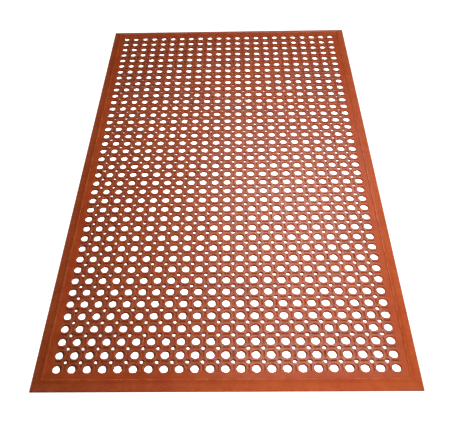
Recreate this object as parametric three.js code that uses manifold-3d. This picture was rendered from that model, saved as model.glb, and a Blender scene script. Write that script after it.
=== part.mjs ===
// Perforated rubber drainage and anti fatigue mat, about 3 ft by 5 ft by 1/2 in, bevelled on all four sides.
//
// The real mat is one moulding of solid rubber. It is built here as the zones of that moulding:
//   - the web, which carries the square grid of round drain holes. It is laid as two crossed layers of ribs,
//     lengthwise ribs over crosswise ribs, so that the mat is open at every drain hole;
//   - the stand-off feet below the web, joined into one foot rail along each crosswise rib;
//   - the plain border strips around the holes;
//   - the retaining lip, a low raised rim around the standing face;
//   - the bevelled ramps, mitred at the corners, which run down to the floor.
//
// Units are millimetres. X is across the width, Y along the length, +Z up. The origin is the centre of the
// underside, on the floor.

import * as THREE from "three";
import { mergeVertices } from "three/addons/utils/BufferGeometryUtils.js";
import Module from "manifold-3d";

// Driving dimensions
const PITCH = 36.4; // between neighbouring drain holes, both ways
const HOLE_COLUMNS = 23; // drain holes across the width
const HOLE_ROWS = 40; // drain holes along the length
const EDGE_PITCHES = 1.5; // from the outermost hole centres to the edge of the mat, in pitches

const TOTAL_HEIGHT = 12.7; // floor to the top of the retaining lip
const LIP_RISE = 2.0; // lip above the standing face
const FOOT_HEIGHT = 3.5; // stand-off below the web, where liquid drains away
const EDGE_HEIGHT = 5.0; // upright outer edge at the foot of the ramps
const RAMP_WIDTH = 25.0; // plan width of the bevel
const LIP_WIDTH = 2.6; // plan width of the retaining lip
const LIP_BEVEL = 1.2; // plan width of the lip's sloping inner face

const OPENING_SIDE = 19.0; // a square opening with the area of a 21.4 mm round bore
const FOOT_RAIL_WIDTH = 7.0;
const GAP = 0.3; // parting between neighbouring zones
const JOIN = 0.5; // how far a cut runs past a face, and a foot rail into its rib

// Sizes that follow from them
const HALF_WIDTH = ((HOLE_COLUMNS - 1) / 2 + EDGE_PITCHES) * PITCH;
const HALF_LENGTH = ((HOLE_ROWS - 1) / 2 + EDGE_PITCHES) * PITCH;
const FIELD_HALF_WIDTH = (HOLE_COLUMNS / 2) * PITCH;
const FIELD_HALF_LENGTH = (HOLE_ROWS / 2) * PITCH;
const STANDING_FACE = TOTAL_HEIGHT - LIP_RISE;
const LAYER_HEIGHT = (STANDING_FACE - FOOT_HEIGHT - GAP) / 2;
const RIB_HALF_WIDTH = (PITCH - OPENING_SIDE) / 2;

const wasm = await Module();
wasm.setup();

// One rubber, with one material for each zone
function rubber() {
  return new THREE.MeshStandardMaterial({ color: 0xaa4b24, roughness: 0.4, metalness: 0 });
}

function zone(name, geometry) {
  const mesh = new THREE.Mesh(geometry, rubber());
  mesh.name = name;
  return mesh;
}

// Closed geometry to manifold-3d solid and back
function solid(geometry) {
  const bare = geometry.clone();
  bare.deleteAttribute("normal");
  bare.deleteAttribute("uv");
  const merged = mergeVertices(bare);
  return new wasm.Manifold(
    new wasm.Mesh({
      numProp: 3,
      vertProperties: merged.attributes.position.array,
      triVerts: new Uint32Array(merged.index.array),
    }),
  );
}

function geometryOf(manifold) {
  const mesh = manifold.getMesh();
  const geometry = new THREE.BufferGeometry();
  geometry.setAttribute("position", new THREE.BufferAttribute(mesh.vertProperties, 3));
  geometry.setIndex(new THREE.BufferAttribute(mesh.triVerts, 1));
  geometry.computeVertexNormals();
  return geometry;
}

function box(sizeX, sizeY, floor, top, x = 0, y = 0) {
  return solid(new THREE.BoxGeometry(sizeX, sizeY, top - floor).translate(x, y, (floor + top) / 2));
}

// A flat layer of the web, before its slots are cut
function layerBlank(floor) {
  return box(2 * FIELD_HALF_WIDTH, 2 * FIELD_HALF_LENGTH, floor, floor + LAYER_HEIGHT);
}

// Ribs that run along the mat, left by one long slot for each column of holes
function lengthwiseRibs() {
  const floor = STANDING_FACE - LAYER_HEIGHT;
  const slotLength = 2 * (FIELD_HALF_LENGTH - RIB_HALF_WIDTH);
  let layer = layerBlank(floor);
  for (let column = 0; column < HOLE_COLUMNS; column++) {
    const x = (column - (HOLE_COLUMNS - 1) / 2) * PITCH;
    const slot = box(OPENING_SIDE, slotLength, floor - JOIN, STANDING_FACE + JOIN, x, 0);
    layer = layer.subtract(slot);
  }
  return geometryOf(layer);
}

// Ribs that run across the mat, left by one long slot for each row of holes. Each stands on a foot rail, and
// the two end ribs are half as wide.
function crosswiseRibs() {
  const top = FOOT_HEIGHT + LAYER_HEIGHT;
  const slotLength = 2 * (FIELD_HALF_WIDTH - RIB_HALF_WIDTH);
  const endRib = FIELD_HALF_LENGTH - RIB_HALF_WIDTH / 2;
  let layer = layerBlank(FOOT_HEIGHT);
  for (let row = 0; row < HOLE_ROWS; row++) {
    const y = (row - (HOLE_ROWS - 1) / 2) * PITCH;
    layer = layer.subtract(box(slotLength, OPENING_SIDE, FOOT_HEIGHT - JOIN, top + JOIN, 0, y));
  }
  for (let rib = 0; rib <= HOLE_ROWS; rib++) {
    const y = Math.max(-endRib, Math.min(endRib, (rib - HOLE_ROWS / 2) * PITCH));
    layer = layer.add(box(slotLength, FOOT_RAIL_WIDTH, 0, FOOT_HEIGHT + JOIN, 0, y));
  }
  return geometryOf(layer);
}

// A bar along one side of the mat, with mitred ends. The profile lists [inset from the edge of the mat, height].
function mitredBar(profile, halfAlong, halfAcross) {
  const section = new THREE.Shape(profile.map(([inset, z]) => new THREE.Vector2(inset, z)));
  const bar = new THREE.ExtrudeGeometry(section, { depth: 1, bevelEnabled: false });
  const position = bar.attributes.position;
  for (let i = 0; i < position.count; i++) {
    const inset = position.getX(i);
    const height = position.getY(i);
    const end = position.getZ(i) > 0.5 ? -1 : 1;
    position.setXYZ(i, end * (halfAlong - inset - GAP), halfAcross - inset, height);
  }
  bar.computeVertexNormals();
  return bar;
}

const LIP_OUTER = RAMP_WIDTH;
const LIP_INNER = RAMP_WIDTH + LIP_WIDTH;
const BORDER_PROFILE = [
  [LIP_INNER + GAP, FOOT_HEIGHT],
  [PITCH - GAP, FOOT_HEIGHT],
  [PITCH - GAP, STANDING_FACE],
  [LIP_INNER + GAP, STANDING_FACE],
];
const LIP_PROFILE = [
  [LIP_OUTER, 0],
  [LIP_INNER, 0],
  [LIP_INNER, STANDING_FACE],
  [LIP_INNER - LIP_BEVEL, TOTAL_HEIGHT],
  [LIP_OUTER, TOTAL_HEIGHT],
];
const RAMP_PROFILE = [
  [0, 0],
  [LIP_OUTER - GAP, 0],
  [LIP_OUTER - GAP, TOTAL_HEIGHT],
  [0, EDGE_HEIGHT],
];

// Each side is drawn as the back one and turned to its place
const SIDES = [
  { name: "back", turn: 0, halfAlong: HALF_WIDTH, halfAcross: HALF_LENGTH },
  { name: "left", turn: Math.PI / 2, halfAlong: HALF_LENGTH, halfAcross: HALF_WIDTH },
  { name: "front", turn: Math.PI, halfAlong: HALF_WIDTH, halfAcross: HALF_LENGTH },
  { name: "right", turn: -Math.PI / 2, halfAlong: HALF_LENGTH, halfAcross: HALF_WIDTH },
];

function edgeSide({ name, turn, halfAlong, halfAcross }) {
  const side = new THREE.Group();
  side.add(zone(`border_${name}`, mitredBar(BORDER_PROFILE, halfAlong, halfAcross)));
  side.add(zone(`lip_${name}`, mitredBar(LIP_PROFILE, halfAlong, halfAcross)));
  side.add(zone(`ramp_${name}`, mitredBar(RAMP_PROFILE, halfAlong, halfAcross)));
  side.rotation.z = turn;
  return side;
}

const mat = new THREE.Group();
mat.name = "anti_fatigue_mat";
mat.add(zone("web_lengthwise_ribs", lengthwiseRibs()));
mat.add(zone("web_crosswise_ribs", crosswiseRibs()));
for (const side of SIDES) {
  mat.add(edgeSide(side));
}

export default mat;
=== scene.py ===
# Perforated rubber drainage and anti fatigue mat: looks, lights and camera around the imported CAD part.
#
# The whole moulding is real geometry: round drain holes with rounded rims, small round holes between them,
# recessed slots, stand-off feet below, the flat border, the raised lip and the mitred ramps. Sizes come
# from the frame where the CAD part has them. Lengths are in metres, and MM turns millimetres into metres.

import functools
import math

import bpy
import numpy as np
from mathutils import Matrix, Vector
from mathutils.geometry import delaunay_2d_cdt


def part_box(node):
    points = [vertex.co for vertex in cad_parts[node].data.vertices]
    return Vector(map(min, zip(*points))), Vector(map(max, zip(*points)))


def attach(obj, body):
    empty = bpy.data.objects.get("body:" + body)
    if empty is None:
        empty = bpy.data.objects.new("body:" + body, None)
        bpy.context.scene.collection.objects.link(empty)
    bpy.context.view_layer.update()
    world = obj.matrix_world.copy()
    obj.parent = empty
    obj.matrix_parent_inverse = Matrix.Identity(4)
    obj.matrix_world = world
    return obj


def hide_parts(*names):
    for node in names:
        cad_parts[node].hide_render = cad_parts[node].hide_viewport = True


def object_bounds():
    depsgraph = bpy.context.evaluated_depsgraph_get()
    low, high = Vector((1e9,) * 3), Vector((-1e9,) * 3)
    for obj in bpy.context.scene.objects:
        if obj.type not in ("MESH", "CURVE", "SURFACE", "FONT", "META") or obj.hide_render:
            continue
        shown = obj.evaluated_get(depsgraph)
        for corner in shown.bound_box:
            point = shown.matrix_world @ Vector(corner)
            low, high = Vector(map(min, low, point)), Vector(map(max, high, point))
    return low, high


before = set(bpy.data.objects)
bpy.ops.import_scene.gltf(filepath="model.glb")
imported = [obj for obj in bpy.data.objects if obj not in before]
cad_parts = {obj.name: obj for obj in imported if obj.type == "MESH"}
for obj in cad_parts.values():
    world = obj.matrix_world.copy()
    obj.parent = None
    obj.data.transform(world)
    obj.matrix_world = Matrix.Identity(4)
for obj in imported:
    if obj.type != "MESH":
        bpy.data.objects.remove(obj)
cad_low, cad_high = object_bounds()

MM = 0.001

# ----------------------------------------------------------------------------------------------------------
# Sizes
# ----------------------------------------------------------------------------------------------------------

# Drain holes across and along the mat.
COLUMNS = 23
ROWS = 40
EDGE_PITCHES = 1.5  # from the outermost hole centres to the edge of the mat

HALF_WIDTH = cad_high.x
HALF_LENGTH = cad_high.y
PITCH = 2 * HALF_WIDTH / (COLUMNS - 1 + 2 * EDGE_PITCHES)

LIP_TOP = cad_high.z
STANDING_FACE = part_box("border_front")[1].z
WEB_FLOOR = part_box("border_front")[0].z
RAMP_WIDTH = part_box("lip_front")[0].y - cad_low.y
LIP_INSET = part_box("lip_front")[1].y - cad_low.y  # from the mat's edge to the lip's inner edge
NOSE_HEIGHT = 5.0 * MM  # upright edge at the foot of the ramps

DRAIN_RIM = 12.8 * MM  # radius where the rounded rim meets the standing face
DRAIN_BORE = 10.5 * MM
SMALL_RIM = 6.9 * MM
SMALL_BORE = 4.8 * MM
BORE_DRAFT = 0.4 * MM  # how much wider a bore is at the underside
UNDER_ROUND = 0.4 * MM  # rounding where a bore meets the underside

SLOT_HALF_LENGTH = 8.9 * MM
SLOT_HALF_WIDTH = 2.9 * MM
SLOT_CORNER = 2.0 * MM
SLOT_DEPTH = 3.6 * MM
SLOT_FLOOR = STANDING_FACE - SLOT_DEPTH
SLOT_RIM_ROUND = 0.7 * MM
SLOT_FLOOR_ROUND = 0.8 * MM
SLOT_DRAFT = math.radians(9)  # how far the flanks lean in

FOOT_RADIUS = 3.5 * MM  # where a foot leaves the underside
FOOT_DRAFT = 0.3 * MM  # how much narrower it is near the ground
FOOT_ROUND = 0.5 * MM

LIP_SLOPE = 1.2 * MM  # plan width of the lip's inner face
LIP_ROOT_ROUND = 0.4 * MM
LIP_CREST_ROUND = 0.5 * MM
RAMP_TOP_ROUND = 1.5 * MM
NOSE_ROUND = 1.4 * MM
BASE_ROUND = 0.4 * MM

# How many straight steps stand for each round shape.
DRAIN_SIDES = 48
SMALL_SIDES = 24
FOOT_SIDES = 12
RIM_STEPS = 4
SLOT_CORNER_STEPS = 3
SLOT_SECTION_STEPS = 2
EDGE_SECTION_STEPS = 4

PANELS = 10  # the web is one moulding, drawn as ten bands of rows

# Seams between cells zigzag, so that they cross only flat face: further from a drain hole where they pass
# between it and a slot, nearer where they pass between a slot's end and a small hole.
SEAM_BY_DRAIN = (DRAIN_RIM + PITCH / 2 - SLOT_HALF_WIDTH) / 2
SEAM_BY_SMALL = (SLOT_HALF_LENGTH + PITCH / 2 - SMALL_RIM) / 2
FIELD_INSET = EDGE_PITCHES * PITCH - SEAM_BY_DRAIN  # from the mat's edge to the edge of the drain field
FOOT_INSET = HALF_WIDTH - COLUMNS / 2 * PITCH  # from the mat's edge to the feet under the border

# ----------------------------------------------------------------------------------------------------------
# Mesh building
# ----------------------------------------------------------------------------------------------------------

CDT_INSIDE_EDGES = 1  # delaunay_2d_cdt's output type: the triangles inside the outermost edges
CDT_TOLERANCE = 1e-5  # in millimetres
WELD_GRID = 0.002 * MM  # points that round to the same place on this grid become one


class Surface:
    """Points, one normal for each point, and the faces between them."""

    def __init__(self):
        self.points = []
        self.normals = []
        self.faces = []

    def add(self, points, normals):
        first = len(self.points)
        self.points.extend(np.asarray(points, float))
        self.normals.extend(np.asarray(normals, float))
        return list(range(first, len(self.points)))

    def join(self, upper, lower):
        """Quads between two closed rings. They face outwards if both rings run counter-clockwise."""
        for i, upper_point in enumerate(upper):
            j = (i + 1) % len(upper)
            self.faces.append((upper_point, lower[i], lower[j], upper[j]))

    def join_lines(self, first, second):
        """Quads between two open lines of points."""
        for i in range(len(first) - 1):
            self.faces.append((first[i], first[i + 1], second[i + 1], second[i]))

    def turn(self, quarter_turns):
        """Turns everything about Z, exactly."""
        for _ in range(quarter_turns):
            self.points = [np.array([-y, x, z]) for x, y, z in self.points]
            self.normals = [np.array([-y, x, z]) for x, y, z in self.normals]

    def fill(self, loops, height, facing):
        """Flat triangles at one height, inside the first loop and outside the others, which are convex.

        facing is 1 for faces that look up, -1 for down. A triangle with all its corners on one inner loop
        lies inside that loop, so it is left out.
        """
        plan = np.concatenate(loops)
        edges = []
        loop_of = []
        for number, loop in enumerate(loops):
            first = len(loop_of)
            count = len(loop)
            edges += [(first + i, first + (i + 1) % count) for i in range(count)]
            loop_of += [number] * count
        in_mm = [Vector(point) / MM for point in plan]
        _, _, triangles, given, *_ = delaunay_2d_cdt(in_mm, edges, [], CDT_INSIDE_EDGES, CDT_TOLERANCE)
        ring = self.add(at_height(plan, height), np.tile((0.0, 0.0, facing), (len(plan), 1)))
        for triangle in triangles:
            corners = [given[i][0] for i in triangle]
            on_loops = {loop_of[i] for i in corners}
            if len(on_loops) == 1 and on_loops != {0}:
                continue
            face = tuple(ring[i] for i in corners)
            self.faces.append(face if facing > 0 else face[::-1])


def at_height(plan, height):
    return np.column_stack([plan, np.full(len(plan), height)])


def leaning(outward, lean):
    """Normals that lean by an angle from straight up towards each plan direction."""
    return np.column_stack([outward * math.sin(lean), np.full(len(outward), math.cos(lean))])


def left_of(direction):
    return np.array([-direction[1], direction[0]])


def circle(radius, sides, centre=(0.0, 0.0)):
    """Points counter-clockwise, and the outward direction at each."""
    angles = np.arange(sides) * 2 * np.pi / sides
    outward = np.column_stack([np.cos(angles), np.sin(angles)])
    return outward * radius + np.array(centre), outward


def slot_outline(along_y):
    """Outline of a slot around its own centre, and the outward direction at each point."""
    points = []
    outward = []
    for quarter in range(4):
        corner_x = (SLOT_HALF_LENGTH - SLOT_CORNER) * (1 if quarter in (0, 3) else -1)
        corner_y = (SLOT_HALF_WIDTH - SLOT_CORNER) * (1 if quarter in (0, 1) else -1)
        for step in range(SLOT_CORNER_STEPS + 1):
            angle = (quarter + step / SLOT_CORNER_STEPS) * math.pi / 2
            direction = np.array([math.cos(angle), math.sin(angle)])
            outward.append(direction)
            points.append(np.array([corner_x, corner_y]) + direction * SLOT_CORNER)
    points, outward = np.array(points), np.array(outward)
    if along_y:
        points = np.column_stack([-points[:, 1], points[:, 0]])
        outward = np.column_stack([-outward[:, 1], outward[:, 0]])
    return points, outward


def rounded_line(corners, steps):
    """Points and normals along a line of (across, height, rounding) corners with the solid on its right.

    Each corner becomes an arc that is tangent to the line on both sides.
    """
    places = [np.array(corner[:2]) for corner in corners]
    directions = [(end - start) / np.linalg.norm(end - start) for start, end in zip(places, places[1:])]
    points = [places[0]]
    normals = [left_of(directions[0])]
    for place, (_, _, rounding), before, after in zip(places[1:], corners[1:], directions, directions[1:]):
        turn = math.atan2(before[0] * after[1] - before[1] * after[0], before @ after)
        signed_radius = math.copysign(rounding, turn)
        centre = place - before * rounding * math.tan(abs(turn) / 2) + left_of(before) * signed_radius
        heading = math.atan2(before[1], before[0])
        for step in range(steps + 1):
            now = heading + turn * step / steps
            normal = left_of((math.cos(now), math.sin(now)))
            points.append(centre - normal * signed_radius)
            normals.append(normal)
    points.append(places[-1])
    normals.append(left_of(directions[-1]))
    return points, normals


def drain_wall(surface, centre, rim, bore, sides):
    """The wall of a round hole: a rounded rim, a bore with draft and a slight rounding at the underside."""
    rings = []
    rim_round = rim - bore
    for step in range(RIM_STEPS + 1):
        lean = step / RIM_STEPS * math.pi / 2
        plan, outward = circle(rim - rim_round * math.sin(lean), sides, centre)
        height = STANDING_FACE - rim_round * (1 - math.cos(lean))
        rings.append(surface.add(at_height(plan, height), leaning(-outward, lean)))
    foot_of_bore = bore + BORE_DRAFT
    for radius, height, lean in (
        (foot_of_bore, WEB_FLOOR + UNDER_ROUND, math.pi / 2),
        (foot_of_bore + UNDER_ROUND, WEB_FLOOR, math.pi),
    ):
        plan, outward = circle(radius, sides, centre)
        rings.append(surface.add(at_height(plan, height), leaning(-outward, lean)))
    for upper, lower in zip(rings, rings[1:]):
        surface.join(upper[::-1], lower[::-1])


def slot_pit(surface, centre, along_y):
    """A recessed slot: rounded rim, leaning flanks, rounded foot and flat floor."""
    outline, outward = slot_outline(along_y)
    flank_run = SLOT_DEPTH * math.tan(SLOT_DRAFT)
    section = [
        (-SLOT_RIM_ROUND, 0.0, 0.0),
        (0.0, 0.0, SLOT_RIM_ROUND),
        (flank_run, -SLOT_DEPTH, SLOT_FLOOR_ROUND),
        (flank_run + SLOT_FLOOR_ROUND, -SLOT_DEPTH, 0.0),
    ]
    points, normals = rounded_line(section, SLOT_SECTION_STEPS)
    rings = []
    start = points[1][0]  # where the rim starts to round, which is the slot's outline
    for (inset, depth), (normal_in, normal_up) in list(zip(points, normals))[1:-1]:
        plan = outline - outward * (inset - start) + np.array(centre)
        lean = math.atan2(normal_in, normal_up)
        ring_normals = leaning(-outward, lean)
        rings.append(surface.add(at_height(plan, STANDING_FACE + depth), ring_normals))
    for upper, lower in zip(rings, rings[1:]):
        surface.join(upper[::-1], lower[::-1])
    floor = np.array([surface.points[i][:2] for i in rings[-1]])
    surface.fill([floor], SLOT_FLOOR, 1)


def foot(surface, centre):
    """A stand-off foot under the web: a short round stud with draft and a rounded end."""
    rings = []
    for inset, height, lean in (
        (0.0, WEB_FLOOR, math.pi / 2),
        (FOOT_DRAFT, FOOT_ROUND, math.pi / 2),
        (FOOT_DRAFT + FOOT_ROUND, 0.0, math.pi),
    ):
        plan, outward = circle(FOOT_RADIUS - inset, FOOT_SIDES, centre)
        rings.append(surface.add(at_height(plan, height), leaning(outward, lean)))
    for upper, lower in zip(rings, rings[1:]):
        surface.join(upper, lower)
    end = np.array([surface.points[i][:2] for i in rings[-1]])
    surface.fill([end], 0.0, -1)


def cell_corner(crossing_on_field, side_on_field):
    """How far a corner lies along and across a side, from the cell's drain hole.

    The flags say whether the crossing side and the side itself lie on the edge of the drain field, where
    they are straight. All other sides slant.
    """
    slant = (SEAM_BY_DRAIN - SEAM_BY_SMALL) / (PITCH / 2)
    if crossing_on_field and side_on_field:
        return SEAM_BY_DRAIN, SEAM_BY_DRAIN
    if crossing_on_field:
        return SEAM_BY_DRAIN, SEAM_BY_DRAIN * (1 - slant)
    if side_on_field:
        return SEAM_BY_DRAIN * (1 - slant), SEAM_BY_DRAIN
    return SEAM_BY_DRAIN / (1 + slant), SEAM_BY_DRAIN / (1 + slant)


def cell_side(starts_at_field, ends_at_field, on_field, low):
    """Points (along, across) of one side of a cell, from its low corner to its high one.

    on_field says that the side lies on the edge of the drain field, low that it is a left or front side.
    """

    def across(reach):
        if low:
            return -reach if on_field else reach - PITCH
        return reach

    reach_along, reach_across = cell_corner(starts_at_field, on_field)
    points = [(-reach_along if starts_at_field else reach_along - PITCH, across(reach_across))]
    if not starts_at_field:
        points.append((-PITCH / 2, across(SEAM_BY_DRAIN if on_field else SEAM_BY_SMALL)))
    points.append((0.0, across(SEAM_BY_DRAIN)))
    reach_along, reach_across = cell_corner(ends_at_field, on_field)
    points.append((reach_along, across(reach_across)))
    return np.array(points)


def upright_wall(surface, line):
    """A wall of the web's thickness along a plan line that runs counter-clockwise round the solid."""
    for start, end in zip(line, line[1:]):
        facing = -left_of(end - start) / np.linalg.norm(end - start)
        corners = [(*start, WEB_FLOOR), (*end, WEB_FLOOR), (*end, STANDING_FACE), (*start, STANDING_FACE)]
        surface.faces.append(tuple(surface.add(corners, np.tile((*facing, 0.0), (4, 1)))))


@functools.cache
def web_cell(first_column, last_column, first_row, last_row, opens_panel, closes_panel):
    """One drain hole, around its centre, with the slots, feet and small hole on its left and front.

    The flags say where the cell lies in the field, and whether its row is the first or last of its panel.
    """
    surface = Surface()
    front = cell_side(first_column, last_column, first_row, True)
    right = cell_side(first_row, last_row, last_column, False)[:, ::-1]
    back = cell_side(first_column, last_column, last_row, False)[::-1]
    left = cell_side(first_row, last_row, first_column, True)[::-1, ::-1]
    sides = (front, right, back, left)
    for side, is_outside in zip(sides, (opens_panel, last_column, closes_panel, first_column)):
        if is_outside:
            upright_wall(surface, side)
    outline = np.concatenate([side[:-1] for side in sides])
    top_loops = [outline, circle(DRAIN_RIM, DRAIN_SIDES)[0]]
    under_loops = [outline, circle(DRAIN_BORE + BORE_DRAFT + UNDER_ROUND, DRAIN_SIDES)[0]]
    drain_wall(surface, (0.0, 0.0), DRAIN_RIM, DRAIN_BORE, DRAIN_SIDES)
    slots = []
    if not first_row:
        slots.append(((0.0, -PITCH / 2), False))
    if not first_column:
        slots.append(((-PITCH / 2, 0.0), True))
    for centre, along_y in slots:
        top_loops.append(slot_outline(along_y)[0] + np.array(centre))
        under_loops.append(circle(FOOT_RADIUS, FOOT_SIDES, centre)[0])
        slot_pit(surface, centre, along_y)
        foot(surface, centre)
    if not (first_row or first_column):
        centre = (-PITCH / 2, -PITCH / 2)
        top_loops.append(circle(SMALL_RIM, SMALL_SIDES, centre)[0])
        under_loops.append(circle(SMALL_BORE + BORE_DRAFT + UNDER_ROUND, SMALL_SIDES, centre)[0])
        drain_wall(surface, centre, SMALL_RIM, SMALL_BORE, SMALL_SIDES)
    surface.fill(top_loops, STANDING_FACE, 1)
    surface.fill(under_loops, WEB_FLOOR, -1)
    return surface


def part_arrays(surface, offsets=((0.0, 0.0),)):
    """A surface copied to each plan offset: points, normals, and faces grouped by number of corners."""
    offsets = np.array(offsets)
    points = np.array(surface.points)
    shift = np.column_stack([offsets, np.zeros(len(offsets))])
    all_points = (points[None] + shift[:, None]).reshape(-1, 3)
    all_normals = np.tile(np.array(surface.normals), (len(offsets), 1))
    groups = []
    step = (np.arange(len(offsets)) * len(points))[:, None, None]
    for corners in sorted({len(face) for face in surface.faces}):
        some = np.array([face for face in surface.faces if len(face) == corners])
        groups.append((some[None] + step).reshape(-1, corners))
    return all_points, all_normals, groups


def join_parts(parts):
    """The points and normals of all parts, the point at each face corner, and each face's first corner."""
    points = np.concatenate([part[0] for part in parts])
    normals = np.concatenate([part[1] for part in parts])
    corners = []
    face_starts = []
    corner_count = 0
    first_point = 0
    for part_points, _, groups in parts:
        for faces in groups:
            corners.append((faces + first_point).reshape(-1))
            face_starts.append(corner_count + np.arange(len(faces)) * faces.shape[1])
            corner_count += faces.size
        first_point += len(part_points)
    return points, normals, np.concatenate(corners), np.concatenate(face_starts)


def make_piece(name, parts, material, stands_for):
    """One piece from part arrays. Points in the same place are welded, and each corner keeps its normal."""
    points, normals, corners, face_starts = join_parts(parts)
    places = np.round(points / WELD_GRID).astype(np.int64)
    _, kept, welded = np.unique(places, axis=0, return_index=True, return_inverse=True)
    mesh = bpy.data.meshes.new(name)
    mesh.vertices.add(len(kept))
    mesh.vertices.foreach_set("co", points[kept].astype(np.float32).reshape(-1))
    mesh.loops.add(len(corners))
    mesh.loops.foreach_set("vertex_index", welded.reshape(-1)[corners].astype(np.int32))
    mesh.polygons.add(len(face_starts))
    mesh.polygons.foreach_set("loop_start", face_starts.astype(np.int32))
    mesh.update(calc_edges=True)
    mesh.shade_smooth()
    mesh.normals_split_custom_set(normals[corners].astype(np.float32))
    mesh.materials.append(material)
    piece = bpy.data.objects.new(name, mesh)
    bpy.context.scene.collection.objects.link(piece)
    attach(piece, "root")
    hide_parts(*stands_for)


def web_panel(number, material):
    """One band of rows of the web, closed all round where it meets its neighbours."""
    rows = range(number * ROWS // PANELS, (number + 1) * ROWS // PANELS)
    places = {}
    for row in rows:
        for column in range(COLUMNS):
            in_field = (column == 0, column == COLUMNS - 1, row == 0, row == ROWS - 1)
            kind = (*in_field, row == rows[0], row == rows[-1])
            place = ((column - (COLUMNS - 1) / 2) * PITCH, (row - (ROWS - 1) / 2) * PITCH)
            places.setdefault(kind, []).append(place)
    parts = [part_arrays(web_cell(*kind), offsets) for kind, offsets in places.items()]
    stands_for = ("web_lengthwise_ribs", "web_crosswise_ribs")
    make_piece(f"web_panel_{number + 1}", parts, material, stands_for)


def edge_section():
    """Section across an edge of the mat, from the drain field over the lip and ramp and back underneath."""
    corners = [
        (-FIELD_INSET, STANDING_FACE, 0.0),
        (-LIP_INSET, STANDING_FACE, LIP_ROOT_ROUND),
        (LIP_SLOPE - LIP_INSET, LIP_TOP, LIP_CREST_ROUND),
        (-RAMP_WIDTH, LIP_TOP, RAMP_TOP_ROUND),
        (0.0, NOSE_HEIGHT, NOSE_ROUND),
        (0.0, 0.0, BASE_ROUND),
        (-LIP_INSET, 0.0, BASE_ROUND),
        (-LIP_INSET, WEB_FLOOR, BASE_ROUND),
        (-FIELD_INSET, WEB_FLOOR, 0.0),
    ]
    return rounded_line(corners, EDGE_SECTION_STEPS)


def edge_piece(side, half_along, half_across, quarter_turns, holes, material):
    """One side of the border with its lip, ramp and feet, drawn as the back one and turned into place."""
    points, normals = edge_section()
    hole_places = [(i - (holes - 1) / 2) * PITCH for i in range(holes)]

    def line_along(across):
        end = half_along + across
        return np.array([(x, half_across + across) for x in (-end, *hole_places, end)])

    surface = Surface()
    lines = []
    # The flat underside between the last two points is filled around the feet instead.
    for (across, height), (normal_out, normal_up) in list(zip(points, normals))[:-1]:
        line = at_height(line_along(across), height)
        lines.append(surface.add(line, np.tile((0.0, normal_out, normal_up), (len(line), 1))))
    for first, second in zip(lines, lines[1:]):
        surface.join_lines(first, second)
    outer = line_along(points[-2][0])
    inner = line_along(-FIELD_INSET)
    under_loops = [np.concatenate([inner, outer[::-1]])]
    for x in hole_places:
        centre = (x, half_across - FOOT_INSET)
        under_loops.append(circle(FOOT_RADIUS, FOOT_SIDES, centre)[0])
        foot(surface, centre)
    surface.fill(under_loops, WEB_FLOOR, -1)
    upright_wall(surface, inner)
    # The mitres at both ends.
    for sign in (1, -1):
        section = [
            (sign * (half_along + across), half_across + across, height) for across, height in points
        ]
        facing = np.array([sign, -1.0, 0.0]) / math.sqrt(2)
        ring = surface.add(section, np.tile(facing, (len(section), 1)))
        surface.faces.append(tuple(ring[::-1] if sign > 0 else ring))
    surface.turn(quarter_turns)
    stands_for = (f"border_{side}", f"lip_{side}", f"ramp_{side}")
    make_piece(f"edge_{side}", [part_arrays(surface)], material, stands_for)


# ----------------------------------------------------------------------------------------------------------
# Material
# ----------------------------------------------------------------------------------------------------------

# Sockets of a colour Mix node, which shares its socket names between data types.
MIX_FACTOR = 0
MIX_FIRST = 6
MIX_SECOND = 7
MIX_RESULT = 2

RED = (0.33, 0.036, 0.008, 1)
ORANGE = (0.46, 0.083, 0.017, 1)
FRESH = (0.66, 0.10, 0.012, 1)
# scuffed dull, and a painted sheen: a paler, pinker tone on the standing face
SCUFFED_AND_SHEEN = (0.28, 0.083, 0.034, 1)
# rubbed pale, and painted light: brightens the ramps and paints a highlight along the lip's crest
PALE_WEAR_AND_PAINTED_LIGHT = (0.66, 0.20, 0.075, 1)
# grime, and painted shade: darkens the lower bores, the underside and feet, and the ramps' nose
GRIME_AND_SHADE = (0.07, 0.022, 0.010, 1)

# How wide the features of each pattern are.
BATCH_GRAIN = 350 * MM
MOTTLE_GRAIN = 27 * MM
SPECKLE_GRAIN = 1.6 * MM
RUBBING_AND_LIGHT_GRAIN = 9 * MM
CREST_HIGHLIGHT_GRAIN = 14 * MM
GRIME_AND_SHADE_GRAIN = 6 * MM
POLISH_GRAIN = 4 * MM
PEEL_GRAIN = 3 * MM
MOULD_GRAIN = 0.4 * MM

# How much each pattern adds to the pigment, from red at 0 to orange at 1.
BATCH_SHARE = 0.25
MOTTLE_SHARE = 0.45
SPECKLE_SHARE = 0.3

MATT_BELOW = STANDING_FACE - 1.5 * MM  # lower down, the rubber keeps the dull finish of its mould
# the lip's crest carries a painted highlight from this height up
CREST_HIGHLIGHT_ABOVE = LIP_TOP - 0.5 * MM
GRIME_AND_SHADE_FADE = 2.5 * MM  # grime and painted shade start at the slots' floor or the ramps' nose, and are full this far below

# How far each area is scuffed dull with a painted pale sheen, rubbed pale with painted light, or still
# fresh.
TREAD_SCUFFS_AND_SHEEN = 1.0
BORDER_SCUFFS_AND_SHEEN = 0.2
RAMP_WEAR_AND_PAINTED_LIGHT = 0.25
SLOT_FRESHNESS = 0.25
CREST_WEAR_AND_HIGHLIGHT = 0.5

# The strength of each area's sheen, and the roughness of its surface.
TREAD_GLOSS = 0.42
BORDER_GLOSS = 0.12
MATT_GLOSS = 0.1
SMOOTHEST = 0.25  # in the most polished patches
ROUGHEST = 0.37  # in the least polished ones
MATT_ROUGHNESS = 0.3  # added at MATT_BELOW and lower

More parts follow.
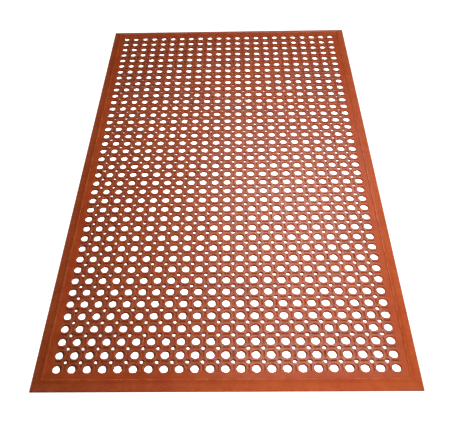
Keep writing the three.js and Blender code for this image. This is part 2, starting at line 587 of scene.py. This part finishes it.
# Orange peel and the finer grain of the mould.
PEEL_DEPTH = 0.10 * MM
PEEL_STRENGTH = 0.5
MOULD_DEPTH = 0.03 * MM
MOULD_STRENGTH = 0.6


def node(tree, kind, inputs, **settings):
    """A shader node with its settings, where each input is given a value or is linked from a socket."""
    made = tree.nodes.new(kind)
    for name, value in settings.items():
        setattr(made, name, value)
    for name, value in inputs.items():
        if isinstance(value, bpy.types.NodeSocket):
            tree.links.new(value, made.inputs[name])
        else:
            made.inputs[name].default_value = value
    return made


def noise(tree, place, grain, detail=2.0, roughness=0.5):
    """Noise between 0 and 1 whose largest features are about one grain wide."""
    inputs = {"Vector": place, "Scale": 1 / grain, "Detail": detail, "Roughness": roughness}
    return node(tree, "ShaderNodeTexNoise", inputs).outputs["Fac"]


def ramp(tree, value, start, end, low=0.0, high=1.0):
    """Smooth change from low to high while the value goes from start to end."""
    inputs = {"Value": value, "From Min": start, "From Max": end, "To Min": low, "To Max": high}
    return node(tree, "ShaderNodeMapRange", inputs, interpolation_type="SMOOTHSTEP").outputs["Result"]


def patches(tree, place, grain, softness=0.2, low=0.0, high=1.0, **character):
    """Patches about one grain wide, from low to high. Less softness makes their borders sharper."""
    value = noise(tree, place, grain, **character)
    return ramp(tree, value, 0.5 - softness, 0.5 + softness, low, high)


def product(tree, first, second):
    return node(tree, "ShaderNodeMath", {0: first, 1: second}, operation="MULTIPLY").outputs["Value"]


def total(tree, first, second):
    return node(tree, "ShaderNodeMath", {0: first, 1: second}, operation="ADD").outputs["Value"]


def mix(tree, factor, first, second):
    inputs = {MIX_FACTOR: factor, MIX_FIRST: first, MIX_SECOND: second}
    return node(tree, "ShaderNodeMix", inputs, data_type="RGBA").outputs[MIX_RESULT]


def place_on_object(tree):
    return node(tree, "ShaderNodeTexCoord", {}).outputs["Object"]


def coordinate(tree, place, axis):
    return node(tree, "ShaderNodeSeparateXYZ", {"Vector": place}).outputs[axis]


def tread_area(tree, place):
    """1 over the drain field, where people stand, fading to 0 across the outermost holes."""
    inside = []
    for axis, half_size in (("X", HALF_WIDTH), ("Y", HALF_LENGTH)):
        across = coordinate(tree, place, axis)
        reach = node(tree, "ShaderNodeMath", {0: across}, operation="ABSOLUTE").outputs["Value"]
        inside.append(ramp(tree, reach, half_size - FIELD_INSET, half_size - EDGE_PITCHES * PITCH))
    return product(tree, *inside)


def below_face(tree, height):
    """0 on the standing face and above it, changing to 1 at MATT_BELOW."""
    return ramp(tree, height, STANDING_FACE, MATT_BELOW)


def by_area(tree, tread, on_border, on_tread):
    """One value for the border and another for the tread, with a smooth change between them."""
    return ramp(tree, tread, 0.0, 1.0, on_border, on_tread)


def rubber_colour(tree, place, height, tread):
    """Mottled pigment: fresh in slots, scuffed on the tread with a painted pale sheen, pale on ramps and
    lip with painted light and a painted highlight, grimy with painted shade low down.
    """
    batch = patches(tree, place, BATCH_GRAIN)
    mottle = patches(tree, place, MOTTLE_GRAIN, detail=4.0, roughness=0.6)
    speckle = noise(tree, place, SPECKLE_GRAIN, detail=3.0)
    pigment = total(tree, product(tree, batch, BATCH_SHARE), product(tree, mottle, MOTTLE_SHARE))
    pigment = total(tree, pigment, product(tree, speckle, SPECKLE_SHARE))
    colour = mix(tree, pigment, RED, ORANGE)

    high_face = ramp(tree, height, MATT_BELOW, STANDING_FACE)
    low_face = below_face(tree, height)
    rubbing_and_painted_light = patches(
        tree, place, RUBBING_AND_LIGHT_GRAIN, softness=0.25, low=0.2, high=0.8, detail=6.0, roughness=0.65
    )
    freshness = product(tree, product(tree, low_face, tread), SLOT_FRESHNESS)
    colour = mix(tree, freshness, colour, FRESH)
    # Scuffs on the standing face: real dulling, with a painted pale sheen in the same colour
    scuffs_and_sheen = product(tree, high_face, by_area(tree, tread, BORDER_SCUFFS_AND_SHEEN, TREAD_SCUFFS_AND_SHEEN))
    colour = mix(tree, product(tree, scuffs_and_sheen, rubbing_and_painted_light), colour, SCUFFED_AND_SHEEN)
    # Ramps: rubbing, and painted light that brightens them where they face away from the lamps
    ramp_wear_and_painted_light = product(tree, low_face, by_area(tree, tread, RAMP_WEAR_AND_PAINTED_LIGHT, 0.0))
    colour = mix(tree, product(tree, ramp_wear_and_painted_light, rubbing_and_painted_light), colour, PALE_WEAR_AND_PAINTED_LIGHT)

    # The lip's crest: some wear, and a painted highlight along it
    crest_highlight_band = ramp(tree, height, CREST_HIGHLIGHT_ABOVE, LIP_TOP)
    crest_wear_and_highlight = patches(tree, place, CREST_HIGHLIGHT_GRAIN, softness=0.15, high=CREST_WEAR_AND_HIGHLIGHT, detail=5.0)
    colour = mix(tree, product(tree, crest_highlight_band, crest_wear_and_highlight), colour, PALE_WEAR_AND_PAINTED_LIGHT)

    # Grime with painted shade: darker low in the bores and under the web, and at the foot of the ramps
    above_grime_and_shade = total(tree, height, by_area(tree, tread, -NOSE_HEIGHT, -SLOT_FLOOR))
    depth_in_grime_and_shade = ramp(tree, above_grime_and_shade, 0.0, -GRIME_AND_SHADE_FADE)
    grime_and_shade_patches = patches(tree, place, GRIME_AND_SHADE_GRAIN, low=0.5, detail=5.0)
    return mix(tree, product(tree, depth_in_grime_and_shade, grime_and_shade_patches), colour, GRIME_AND_SHADE)


def rubber_roughness(tree, place, height):
    polish = patches(tree, place, POLISH_GRAIN, low=SMOOTHEST, high=ROUGHEST, detail=4.0)
    return total(tree, polish, product(tree, below_face(tree, height), MATT_ROUGHNESS))


def rubber_normal(tree, place):
    """Slight orange peel, with the fine grain of the mould on it."""
    peel_height = noise(tree, place, PEEL_GRAIN, detail=1.0)
    peel = {"Height": peel_height, "Distance": PEEL_DEPTH, "Strength": PEEL_STRENGTH}
    peel_normal = node(tree, "ShaderNodeBump", peel).outputs["Normal"]
    mould_height = noise(tree, place, MOULD_GRAIN)
    mould = {
        "Height": mould_height,
        "Distance": MOULD_DEPTH,
        "Strength": MOULD_STRENGTH,
        "Normal": peel_normal,
    }
    return node(tree, "ShaderNodeBump", mould).outputs["Normal"]


def rubber_gloss(tree, height, tread):
    high_gloss = by_area(tree, tread, BORDER_GLOSS, TREAD_GLOSS)
    return ramp(tree, height, MATT_BELOW, STANDING_FACE, MATT_GLOSS, high_gloss)


def new_material(name):
    material = bpy.data.materials.new(name)
    material.use_nodes = True
    return material, material.node_tree


def rubber_material():
    material, tree = new_material("terracotta_rubber")
    place = place_on_object(tree)
    height = coordinate(tree, place, "Z")
    tread = tread_area(tree, place)
    shader = tree.nodes["Principled BSDF"]
    tree.links.new(rubber_colour(tree, place, height, tread), shader.inputs["Base Color"])
    tree.links.new(rubber_gloss(tree, height, tread), shader.inputs["Specular IOR Level"])
    tree.links.new(rubber_roughness(tree, place, height), shader.inputs["Roughness"])
    tree.links.new(rubber_normal(tree, place), shader.inputs["Normal"])
    return material


# ----------------------------------------------------------------------------------------------------------
# The mat
# ----------------------------------------------------------------------------------------------------------

rubber = rubber_material()

for number in range(PANELS):
    web_panel(number, rubber)

edge_piece("back", HALF_WIDTH, HALF_LENGTH, quarter_turns=0, holes=COLUMNS, material=rubber)
edge_piece("left", HALF_LENGTH, HALF_WIDTH, quarter_turns=1, holes=ROWS, material=rubber)
edge_piece("front", HALF_WIDTH, HALF_LENGTH, quarter_turns=2, holes=COLUMNS, material=rubber)
edge_piece("right", HALF_LENGTH, HALF_WIDTH, quarter_turns=3, holes=ROWS, material=rubber)

# ----------------------------------------------------------------------------------------------------------
# Stage, lights and camera
# ----------------------------------------------------------------------------------------------------------

HALF_STAGE = 20.0  # half the width of the floor and of the white room, and the room's height

# The floor, the white room's ground and the paper lie just under the mat, in this order from the bottom up.
FLOOR_HEIGHT = -0.4 * MM
WHITE_HEIGHT = -0.2 * MM
PAPER_HEIGHT = -0.1 * MM

# Faces over the corners of a rectangle, and of a second one above it.
GROUND = [(0, 1, 2, 3)]
WALLS = [(i, (i + 1) % 4, (i + 1) % 4 + 4, i + 4) for i in range(4)]
CEILING = [(4, 5, 6, 7)]

PURE_WHITE = (1, 1, 1, 1)
FLOOR_GREY = (0.8, 0.8, 0.8, 1)
FLOOR_ROUGHNESS = 0.9
FLOOR_GLOW = 0.7  # from the mat's right edge outwards
ROOM_GLOW = 1.3
PAPER_FRONT_GREY = 0.25
WORLD_GLOW = 0.03


def stage_piece(name, corners, faces, material):
    mesh = bpy.data.meshes.new(name)
    mesh.from_pydata(corners, [], faces)
    mesh.materials.append(material)
    piece = bpy.data.objects.new(name, mesh)
    bpy.context.scene.collection.objects.link(piece)
    return piece


def rectangle(half_width, half_length, height):
    return [(x * half_width, y * half_length, height) for x, y in ((-1, -1), (1, -1), (1, 1), (-1, 1))]


def show_to_camera_only(piece):
    piece.visible_diffuse = False
    piece.visible_glossy = False
    piece.visible_shadow = False
    piece.visible_transmission = False


def floor_material():
    """Pale floor that throws light up at the mat, more of it towards the right."""
    material, tree = new_material("pale_floor")
    across = coordinate(tree, place_on_object(tree), "X")
    shader = tree.nodes["Principled BSDF"]
    shader.inputs["Base Color"].default_value = FLOOR_GREY
    shader.inputs["Roughness"].default_value = FLOOR_ROUGHNESS
    shader.inputs["Emission Color"].default_value = PURE_WHITE
    glow = ramp(tree, across, -HALF_WIDTH / 2, HALF_WIDTH, 0.0, FLOOR_GLOW)
    tree.links.new(glow, shader.inputs["Emission Strength"])
    return material


def room_material():
    material, tree = new_material("studio_white")
    tree.nodes.clear()
    glow = node(tree, "ShaderNodeEmission", {"Strength": ROOM_GLOW}).outputs["Emission"]
    node(tree, "ShaderNodeOutputMaterial", {"Surface": glow})
    return material


def paper_material():
    """White paper, greyer at the front, where its lamp is near, so that it is about equally bright."""
    material, tree = new_material("white_paper")
    tree.nodes.clear()
    along = coordinate(tree, place_on_object(tree), "Y")
    brightness = ramp(tree, along, -HALF_LENGTH, HALF_LENGTH, PAPER_FRONT_GREY, 1.0)
    white = node(tree, "ShaderNodeBsdfDiffuse", {"Color": brightness}).outputs["BSDF"]
    node(tree, "ShaderNodeOutputMaterial", {"Surface": white})
    return material


stage_piece("floor", rectangle(HALF_STAGE, HALF_STAGE, FLOOR_HEIGHT), GROUND, floor_material())

# A white room that only the camera sees, and in it a sheet of paper under the web, which shows the mat's
# shadow inside the holes.
room_ground = rectangle(HALF_STAGE, HALF_STAGE, WHITE_HEIGHT)
room_top = rectangle(HALF_STAGE, HALF_STAGE, HALF_STAGE)
white_room = stage_piece("white_room", room_ground + room_top, GROUND + WALLS + CEILING, room_material())
paper_corners = rectangle(HALF_WIDTH - LIP_INSET, HALF_LENGTH - LIP_INSET, PAPER_HEIGHT)
paper = stage_piece("paper", paper_corners, GROUND, paper_material())
show_to_camera_only(white_room)
show_to_camera_only(paper)

LIT_SPOT = Vector((0.2, -0.3, 0.0))  # where all lights point: the sheen's middle, right of the mat's centre


def area_light(name, place, side, power, spread=180):
    """A square light. Its spread is in degrees: below 180 it keeps to a beam, like a lamp with a grid."""
    data = bpy.data.lights.new(name, "AREA")
    data.shape = "SQUARE"
    data.size = side
    data.energy = power
    data.spread = math.radians(spread)
    light = bpy.data.objects.new(name, data)
    bpy.context.scene.collection.objects.link(light)
    light.location = place
    light.rotation_euler = (LIT_SPOT - light.location).to_track_quat("-Z", "Y").to_euler()
    return light


area_light("window", (0.5, 1.75, 2.3), side=1.5, power=27)
area_light("near_window", (0.32, 0.55, 0.9), side=0.5, power=2.2)
area_light("overhead", (0.35, -0.3, 1.2), side=0.8, power=8.5)
area_light("far_right", (1.5, 1.2, 1.0), side=0.6, power=5)
area_light("front_beam", (0.4, -2.0, 1.2), side=0.6, power=2.6, spread=50)

# The paper alone catches this one, which makes it white wherever the mat doesn't shade it.
paper_lamp = area_light("paper_lamp", (0.3, -0.92, 1.12), side=0.12, power=160)
lit_pieces = bpy.data.collections.new("lit_by_paper_lamp")
lit_pieces.objects.link(paper)
paper_lamp.light_linking.receiver_collection = lit_pieces

world = bpy.data.worlds.new("studio")
world.use_nodes = True
background = world.node_tree.nodes["Background"]
background.inputs["Color"].default_value = PURE_WHITE
background.inputs["Strength"].default_value = WORLD_GLOW
bpy.context.scene.world = world

CAMERA_PLACE = Vector((32.9, -1366.5, 1291.3)) * MM
CAMERA_DOWN = math.radians(48.12)
CAMERA_LEFT = math.radians(1.43)
CAMERA_ROLL = math.radians(-1.59)
LENS_MM = 46.63
SENSOR_MM = 36.0


def make_camera():
    forward = Vector((
        -math.sin(CAMERA_LEFT) * math.cos(CAMERA_DOWN),
        math.cos(CAMERA_LEFT) * math.cos(CAMERA_DOWN),
        -math.sin(CAMERA_DOWN),
    ))
    level_right = forward.cross(Vector((0, 0, 1))).normalized()
    level_up = level_right.cross(forward)
    right = level_right * math.cos(CAMERA_ROLL) + level_up * math.sin(CAMERA_ROLL)
    up = right.cross(forward)
    camera_data = bpy.data.cameras.new("camera")
    camera_data.lens = LENS_MM
    camera_data.sensor_width = SENSOR_MM
    camera = bpy.data.objects.new("camera", camera_data)
    bpy.context.scene.collection.objects.link(camera)
    turn = Matrix((right, up, -forward)).transposed()
    camera.matrix_world = Matrix.Translation(CAMERA_PLACE) @ turn.to_4x4()
    bpy.context.scene.camera = camera


make_camera()
bpy.context.scene.view_settings.view_transform = "Standard"
